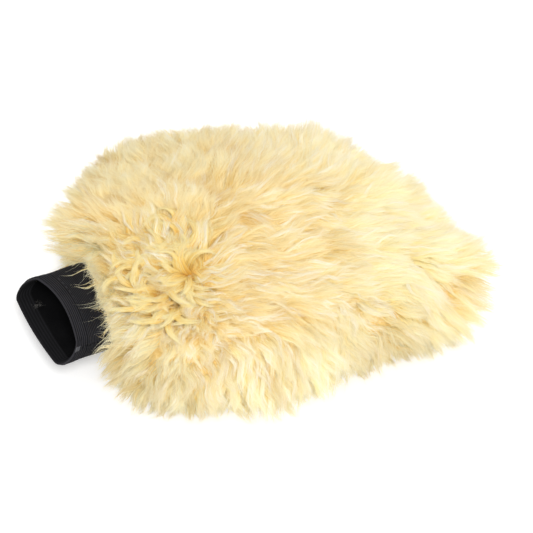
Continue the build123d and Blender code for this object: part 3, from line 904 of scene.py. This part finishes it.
def make_band(material):
    """The elastic sleeve: ribbed outside and in, with a rolled rim."""
    columns = cuff_columns(0.75 * MM)
    plain_end = upper_length - 6 * MM
    outer = np.r_[np.linspace(upper_length, plain_end, 5)[:-1], np.arange(plain_end, 0.9 * MM, -0.22 * MM)]
    rows = [(b, 0.0, 0.0, 0.02 + 0.60 * (1 - b / upper_length)) for b in outer]
    bead, bead_rows = band_wall / 2, 9
    for k in range(bead_rows):
        turn = math.pi * k / (bead_rows - 1)
        lift = -bead + (bead + 0.12 * MM * math.sin(turn)) * math.cos(turn)
        rows.append((0.0, lift, 0.9 * bead * math.sin(turn) - 0.6 * MM, 0.63 + 0.005 * k))
    ribbed = np.arange(0.9 * MM, facing_setback + 2 * MM, 0.3 * MM)
    inner = np.r_[ribbed, np.linspace(facing_setback + 3 * MM, upper_length, 12)]
    rows += [(b, -band_wall, 0.0, 0.68 + 0.29 * b / upper_length) for b in inner]
    obj = sleeve_mesh("cuff_elastic_sleeve", rows, columns, material)
    count = len(columns)
    outside = rib_profile(outer[:, None], columns[None])
    inside = -band_wall - np.maximum(0.6 * rib_profile(inner[:, None], columns[None]), 0)
    for first, back, lift in ((0, outer, outside), (len(outer) + bead_rows, inner, inside)):
        for j, place in enumerate(on_cuff(columns[None], back[:, None], lift).reshape(-1, 3)):
            obj.data.vertices[first * count + j].co = place
    bend_at_mouth(obj)
    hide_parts("cuff_band", "cuff_elastic_cords")


def make_facing(material):
    """The inner cloth, whose folded edge lies behind the rim."""
    columns = np.arange(0, girth, 0.9 * MM)
    top = -band_wall - 0.1 * MM
    longest = upper_length + facing_past
    edge = facing_setback + 0.4 * MM
    backs = np.r_[np.arange(edge, 30 * MM, 0.7 * MM), np.linspace(31 * MM, longest, 22)]
    flare = 5.0 * MM * smooth(backs - upper_length, 0.5 * MM, facing_past)
    rows = [(b, top + f, 0.0, 0.02 + 0.42 * b / longest) for b, f in zip(backs[::-1], flare[::-1])]
    for k in range(1, 6):
        turn = math.pi * k / 6
        back = edge - 0.4 * MM * math.sin(turn)
        rows.append((back, top - 0.6 * facing_wall * (1 - math.cos(turn)), 0.0, 0.10))
    for b, f in zip(backs, flare):
        hemmed = b < facing_setback + 3 * MM
        lift = top - 1.2 * facing_wall if hemmed else top - facing_wall + f
        rows.append((b, lift, 0.0, 0.50 + 0.42 * b / longest))
    obj = sleeve_mesh("cuff_facing_cloth", rows, columns, material)
    bend_at_mouth(obj)
    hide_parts("cuff_facing")


def thread_mesh(name, paths, radius, material, node):
    """Short round threads that follow paths of points, as one mesh."""
    points, faces = [], []
    sides = 8
    for path in paths:
        way = unit(np.gradient(path, axis=0))
        first = unit(np.cross(way, np.array([0.3, 0.2, 1.0])))
        second = np.cross(way, first)
        start = len(points)
        rings = len(path)
        for k in range(rings):
            shrink = 0.55 if k in (0, rings - 1) else 1.0
            for j in range(sides):
                turn = 2 * math.pi * j / sides
                out = math.cos(turn) * first[k] + math.sin(turn) * second[k]
                points.append(tuple(path[k] + radius * shrink * out))
        for low in range(start, start + (rings - 1) * sides, sides):
            for j in range(sides):
                n = (j + 1) % sides
                faces.append((low + j, low + n, low + sides + n, low + sides + j))
        faces.append(tuple(start + j for j in range(sides))[::-1])
        faces.append(tuple(start + (rings - 1) * sides + j for j in range(sides)))
    obj = mesh_object(name, points, faces, material)
    bend_at_mouth(obj)
    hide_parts(node)


def stitch_path(around, back, span_around, span_back, height):
    """A stitch that comes up through the cloth, lies across it and goes down again."""
    u = np.linspace(-0.5, 0.5, 9)
    lift = height - (height + 0.7 * MM) * np.abs(2 * u) ** 6
    return on_cuff(around + span_around * u, back + span_back * u, lift)


def make_cuff_threads(cuff_thread, tack_thread):
    """The closing seam's zigzag, the bar tack at the rim, and the rows that hold the facing."""
    backs = np.arange(4.6 * MM, upper_length - 4 * MM, 3.0 * MM)
    zigzag = [(-1) ** k * 1.5 * MM for k in range(len(backs))]
    seam = [stitch_path(seam_at, b, 2.4 * MM, z, 0.55 * MM) for b, z in zip(backs, zigzag)]
    thread_mesh("closing_seam_stitches", seam, 0.28 * MM, cuff_thread, "cuff_closing_stitches")
    tacks = [stitch_path(seam_at, (0.9 + 0.8 * k) * MM, 3.2 * MM, 0.3 * MM, 0.5 * MM) for k in range(4)]
    thread_mesh("rim_bar_tack", tacks, 0.22 * MM, tack_thread, "cuff_bar_tack")
    rows = []
    back = selvedge_width + rib_pitch
    for low in (quarter, 3 * quarter + ply_width):
        for place in np.arange(low + 3.5 * MM, low + ply_width - 3 * MM, 5.0 * MM):
            rows.append(stitch_path(place, back, 3.0 * MM, 0.0, 0.05 * MM))
    thread_mesh("facing_row_stitches", rows, 0.22 * MM, cuff_thread, "cuff_facing_stitches")


# ---- materials ----
def linear(rgb):
    """Linear colour from the usual 0 to 255 numbers."""
    c = np.array(rgb) / 255
    return tuple(np.where(c <= 0.04045, c / 12.92, ((c + 0.055) / 1.055) ** 2.4)) + (1.0,)


class Nodes:
    """Short forms for building a material's nodes."""

    def __init__(self, name):
        self.material = bpy.data.materials.new(name)
        self.material.use_nodes = True
        self.tree = self.material.node_tree
        self.shader = self.tree.nodes["Principled BSDF"]

    def add(self, kind, **settings):
        node = self.tree.nodes.new(kind)
        for key, value in settings.items():
            setattr(node, key, value)
        return node

    def link(self, output, socket):
        self.tree.links.new(output, socket)

    def feed(self, socket, value):
        """Links an output to the socket, or sets the socket's own value."""
        if isinstance(value, bpy.types.NodeSocket):
            self.link(value, socket)
        else:
            socket.default_value = value

    def math(self, operation, a, b=None, clamp=False):
        node = self.add("ShaderNodeMath", operation=operation, use_clamp=clamp)
        self.feed(node.inputs[0], a)
        if b is not None:
            self.feed(node.inputs[1], b)
        return node.outputs[0]

    def near(self, value, target, within):
        """1 where the value is close to the target, and 0 elsewhere."""
        chosen = self.math("COMPARE", value, target)
        chosen.node.inputs[2].default_value = within
        return chosen

    def ramp(self, factor, *stops):
        node = self.add("ShaderNodeValToRGB")
        elements = node.color_ramp.elements
        while len(elements) < len(stops):
            elements.new(0.5)
        for element, (position, colour) in zip(elements, stops):
            element.position = position
            element.color = linear(colour)
        self.link(factor, node.inputs[0])
        return node.outputs[0]

    def mix(self, factor, a, b, blend="MIX"):
        node = self.add("ShaderNodeMix", data_type="RGBA", blend_type=blend)
        for index, value in ((0, factor), (6, a), (7, b)):
            self.feed(node.inputs[index], value)
        return node.outputs[2]

    def object_place(self):
        return self.add("ShaderNodeTexCoord").outputs["Object"]

    def row_place(self):
        return self.add("ShaderNodeNewGeometry").outputs["Position"]

    def bake_map(self):
        """The two coordinates of the piece's own map."""
        split = self.add("ShaderNodeSeparateXYZ")
        self.link(self.add("ShaderNodeUVMap", uv_map="OFBake").outputs[0], split.inputs[0])
        return split.outputs[0], split.outputs[1]

    def noise(self, place, scale, detail):
        node = self.add("ShaderNodeTexNoise")
        node.inputs["Scale"].default_value = scale
        node.inputs["Detail"].default_value = detail
        self.link(place, node.inputs["Vector"])
        return node.outputs[0]

    def bump(self, height, distance, strength=0.5):
        node = self.add("ShaderNodeBump")
        node.inputs["Strength"].default_value = strength
        node.inputs["Distance"].default_value = distance
        self.link(height, node.inputs["Height"])
        self.link(node.outputs[0], self.shader.inputs["Normal"])

    def finish(self, colour, roughness, specular, sheen=0.0):
        self.feed(self.shader.inputs["Base Color"], colour)
        self.shader.inputs["Roughness"].default_value = roughness
        self.shader.inputs["Specular IOR Level"].default_value = specular
        self.shader.inputs["Sheen Weight"].default_value = sheen
        return self.material


# The wool's colours at four places from root to tip, for each family of strands in its order. The darker
# amber towards the roots is partly the wool's own colour and partly painted shade, for the shade deep in the
# pile.
strand_places = (0.06, 0.36, 0.70, 1.0)
strand_families = (
    ((222, 170, 76), (243, 214, 133), (253, 238, 185), (255, 252, 226)),      # plain
    ((240, 202, 110), (254, 239, 172), (255, 250, 214), (255, 254, 238)),     # golden, towards the tip
    ((242, 200, 104), (252, 229, 154), (254, 246, 204), (251, 251, 236)),     # pale, round the edge
    ((206, 194, 140), (228, 220, 176), (240, 237, 204), (249, 249, 238)),     # greyer: painted shade by the cuff and low on the near side; also the colour of some loose locks and the wisps
    ((220, 158, 50), (251, 216, 118), (255, 242, 178), (255, 252, 222)),      # curled
    ((204, 136, 32), (234, 182, 78), (250, 220, 136), (255, 243, 192)),       # deep: painted shade, darker strands in the crevices under the curls
    ((240, 208, 132), (253, 240, 196), (255, 252, 234), (255, 255, 250)),     # painted highlight: whiter strands that lie on top of the rest
)


def wool_material():
    """Wool from amber roots to pale tips, the darker roots partly painted shade deep in the pile. The map's V
    holds a strand's family and its way, and U its tone.
    """
    n = Nodes("wool")
    tone, rows = n.bake_map()
    rows = n.math("MULTIPLY", rows, len(strand_families))
    row = n.math("FLOOR", rows)
    way = n.math("FRACT", rows)
    ramps = [n.ramp(way, *zip(strand_places, colours)) for colours in strand_families]
    colour = ramps[0]
    for i in range(1, len(ramps)):
        colour = n.mix(n.near(row, float(i), 0.5), colour, ramps[i])
    shade = n.ramp(tone, (0.0, (230, 212, 180)), (0.5, (251, 247, 240)), (1.0, (255, 255, 255)))
    n.shader.inputs["Sheen Roughness"].default_value = 0.4
    return n.finish(n.mix(1.0, colour, shade, blend="MULTIPLY"), 0.72, 0.25, sheen=0.25)


def undercoat_material():
    """Matted wool: fine golden noise in its colour and its bump."""
    n = Nodes("wool_undercoat")
    fine = n.noise(n.row_place(), 420, 6)
    n.bump(fine, 0.0015, strength=1.0)
    colour = n.ramp(fine, (0.30, (230, 194, 118)), (0.55, (244, 216, 148)), (0.75, (251, 232, 176)))
    return n.finish(colour, 0.9, 0.1)


def elastic_material():
    """Black woven elastic: its ribs painted pale on the ridges and near black between them, painted highlight
    and shade; cross threads in its bump, and a paler rim.
    """
    n = Nodes("cuff_elastic")
    round_u, along_v = n.bake_map()
    outer_end, outer_rim, inner_rim, inner_end = (sleeve_v(v) for v in (0.02, 0.62, 0.68, 0.97))
    within = n.math("GREATER_THAN", along_v, sleeve_v(0.65))
    without = n.math("SUBTRACT", 1.0, within)
    outer = n.math("DIVIDE", n.math("SUBTRACT", outer_rim, along_v), outer_rim - outer_end)
    inner = n.math("DIVIDE", n.math("SUBTRACT", along_v, inner_rim), inner_end - inner_rim)
    share = n.math("ADD", n.math("MULTIPLY", outer, without), n.math("MULTIPLY", inner, within))
    back = n.math("MULTIPLY", share, upper_length / MM)
    coarse = n.math("LESS_THAN", back, selvedge_width / MM)
    fine = n.math("SUBTRACT", 1.0, coarse)
    coarse_run = n.math("DIVIDE", back, selvedge_pitch / MM)
    fine_run = n.math("DIVIDE", n.math("SUBTRACT", back, selvedge_width / MM), rib_pitch / MM)
    run = n.math("ADD", n.math("MULTIPLY", coarse_run, coarse), n.math("MULTIPLY", fine_run, fine))
    ridge = n.math("ABSOLUTE", n.math("SINE", n.math("MULTIPLY", run, math.pi)))
    place = n.row_place()
    fibre = n.noise(place, 1900, 3)
    shade = ridge
    for uneven, amount in ((n.noise(place, 95, 5), 0.5), (fibre, 0.4)):
        shade = n.math("ADD", shade, n.math("MULTIPLY", n.math("SUBTRACT", uneven, 0.5), amount))
    # The ribs are painted pale on their ridges and near black in their grooves: painted highlight and shade,
    # with uneven noise.
    cloth = n.ramp(shade, (0.15, (2, 2, 3)), (0.55, (16, 16, 18)), (0.95, (50, 50, 54)))
    by_rim = n.math("SUBTRACT", 1.0, n.math("DIVIDE", back, 11.0), clamp=True)
    selvedge = n.ramp(shade, (0.15, (8, 8, 10)), (0.95, (58, 57, 62)))
    cloth = n.mix(n.math("MULTIPLY", by_rim, 0.5), cloth, selvedge)
    beaded = n.near(along_v, sleeve_v(0.65), 0.022)
    cloth = n.mix(n.math("MULTIPLY", beaded, 0.7), cloth, linear((58, 57, 61)))
    # The band's inner side is painted near black: painted shade inside the cuff.
    cloth = n.mix(n.math("MULTIPLY", within, 0.8), cloth, linear((6, 6, 7)))
    threads = n.math("SINE", n.math("MULTIPLY", round_u, 2 * math.pi * 236))
    n.bump(n.math("ADD", n.math("MULTIPLY", threads, 0.5), fibre), 0.00018, strength=0.6)
    return n.finish(cloth, 0.85, 0.12)


def woven_material(name, dark, light, thread=0.5 * MM):
    """Plain woven cloth: two crossed sets of threads in object space, with soft unevenness in its colour."""
    n = Nodes(name)
    place = n.object_place()
    split = n.add("ShaderNodeSeparateXYZ")
    n.link(place, split.inputs[0])
    rate = 2 * math.pi / thread
    warp, weft = (n.math("SINE", n.math("MULTIPLY", split.outputs[i], rate)) for i in (0, 1))
    weave = n.math("MULTIPLY", warp, weft)
    shade = n.math("ADD", n.noise(place, 70, 6), n.math("MULTIPLY", weave, 0.10))
    n.bump(weave, 0.12 * MM)
    return n.finish(n.ramp(shade, (0.30, dark), (0.70, light)), 0.85, 0.06)


def hide_material():
    """Tanned suede: a mottled tan with fine pores and creases."""
    n = Nodes("hide")
    place = n.object_place()
    mottle = n.noise(place, 45, 8)
    pores = n.add("ShaderNodeTexVoronoi")
    pores.inputs["Scale"].default_value = 900
    n.link(place, pores.inputs["Vector"])
    n.bump(n.math("ADD", n.math("MULTIPLY", pores.outputs[0], 0.6), mottle), 0.0003)
    colour = n.ramp(mottle, (0.30, (206, 174, 122)), (0.55, (226, 196, 146)), (0.75, (238, 214, 170)))
    return n.finish(colour, 0.88, 0.25, sheen=0.15)


def thread_material(name, dark, light):
    """Twisted sewing thread: slanting plies in its colour and bump."""
    n = Nodes(name)
    plies = n.add("ShaderNodeTexWave", bands_direction="DIAGONAL")
    plies.inputs["Scale"].default_value = 900
    plies.inputs["Distortion"].default_value = 1.5
    n.link(n.object_place(), plies.inputs["Vector"])
    n.bump(plies.outputs[1], 0.0001)
    return n.finish(n.ramp(plies.outputs[1], (0.15, dark), (0.85, light)), 0.55, 0.4)


# ---- stage ----
camera_round, camera_up = -21.6, 54.0       # in degrees, round from the near side and up from the floor
camera_away = 1.2
camera_lens = 109.8                         # in millimetres, on a sensor 36 mm wide
aim_height = 30 * MM
aim_right, aim_down = 19.0 * MM, 6.9 * MM   # the view's middle, from the point that the camera goes round
sun_up = 62.0
floor_reach = 3.0


def direction(azimuth, elevation):
    """The unit vector from the mitt towards a place so many degrees round from its near side, and up."""
    azimuth, elevation = math.radians(azimuth), math.radians(elevation)
    level = math.cos(elevation)
    return Vector((math.sin(azimuth) * level, -math.cos(azimuth) * level, math.sin(elevation)))


def place_facing(name, data, place, towards):
    """A new camera or lamp at a place, turned to look along a direction."""
    obj = bpy.data.objects.new(name, data)
    obj.location = place
    obj.rotation_mode = "QUATERNION"
    obj.rotation_quaternion = towards.to_track_quat("-Z", "Y")
    bpy.context.scene.collection.objects.link(obj)
    return obj


def make_camera():
    """The camera looks down at the mitt from its near side, a little from the cuff's end."""
    back = direction(camera_round, camera_up)
    aim = Vector((0, 0, aim_height))
    place = aim + back * camera_away
    right = (-back).cross(Vector((0, 0, 1))).normalized()
    aim += right * aim_right - right.cross(-back) * aim_down
    data = bpy.data.cameras.new("camera")
    data.lens = camera_lens
    data.sensor_width = 36
    bpy.context.scene.camera = place_facing("camera", data, place, aim - place)


def make_lights():
    """A plain white world that is brighter where it is seen than where it lights, and one soft high sun."""
    world = bpy.data.worlds.new("studio")
    bpy.context.scene.world = world
    world.use_nodes = True
    tree = world.node_tree
    background = tree.nodes["Background"]
    path = tree.nodes.new("ShaderNodeLightPath")
    seen = path.outputs["Is Camera Ray"]
    for ray in ("Is Glossy Ray", "Is Transmission Ray"):
        either = tree.nodes.new("ShaderNodeMath")
        either.operation = "MAXIMUM"
        tree.links.new(seen, either.inputs[0])
        tree.links.new(path.outputs[ray], either.inputs[1])
        seen = either.outputs[0]
    level = tree.nodes.new("ShaderNodeMapRange")
    level.inputs["To Min"].default_value = 0.60
    level.inputs["To Max"].default_value = 1.0
    tree.links.new(seen, level.inputs[0])
    tree.links.new(level.outputs[0], background.inputs["Strength"])
    background.inputs["Color"].default_value = (1, 1, 1, 1)
    sun = bpy.data.lights.new("key", "SUN")
    sun.energy = 1.8
    sun.angle = math.radians(25)
    place_facing("key", sun, (0, 0, 0), -direction(0, sun_up))


def make_floor():
    """A pale floor that takes the mitt's shadow and looks white where it has none."""
    n = Nodes("floor")
    path = n.add("ShaderNodeLightPath").outputs
    seen = n.math("MAXIMUM", path["Is Glossy Ray"], path["Is Transmission Ray"])
    glow = n.math("MULTIPLY", n.math("MAXIMUM", path["Is Camera Ray"], seen), 0.3)
    n.link(glow, n.shader.inputs["Emission Strength"])
    n.shader.inputs["Emission Color"].default_value = (1, 1, 1, 1)
    n.finish((0.86, 0.86, 0.86, 1), 0.9, 0.0)
    r = floor_reach
    corners = [(-r, -r, 0), (r, -r, 0), (r, r, 0), (-r, r, 0)]
    mesh_object("floor", corners, [(0, 1, 2, 3)], n.material, soft=False)


bpy.context.scene.view_settings.view_transform = "Standard"
make_camera()
make_lights()
make_floor()
wool = wool_material()
make_undercoat(undercoat_material())
make_wool(wool)
make_loose_wool(wool, thread_material("caught_wool", (50, 49, 47), (92, 90, 86)))
make_band(elastic_material())
# The facing cloth's near black is painted shade inside the cuff.
make_facing(woven_material("facing_cloth", (4, 4, 5), (12, 12, 13)))
cuff_thread = thread_material("cuff_thread", (8, 8, 9), (26, 26, 29))
# The bar tack's pale grey thread on the black cuff is a painted glint.
make_cuff_threads(cuff_thread, thread_material("tack_thread", (60, 60, 64), (130, 130, 134)))
hide = hide_material()
lining = woven_material("lining_cloth", (10, 10, 11), (20, 20, 22), thread=0.6 * MM)
finishes = {
    "upper_hide": hide, "lower_hide": hide, "upper_lining": lining, "lower_lining": lining,
    "perimeter_stitches": thread_material("seam_thread", (206, 192, 158), (240, 230, 204)),
}
finishes["mouth_stitches"] = thread_material("mouth_thread", (8, 8, 9), (26, 26, 29))
for node, material in finishes.items():
    for slot in frame["nodes"][node].material_slots:
        slot.material = material
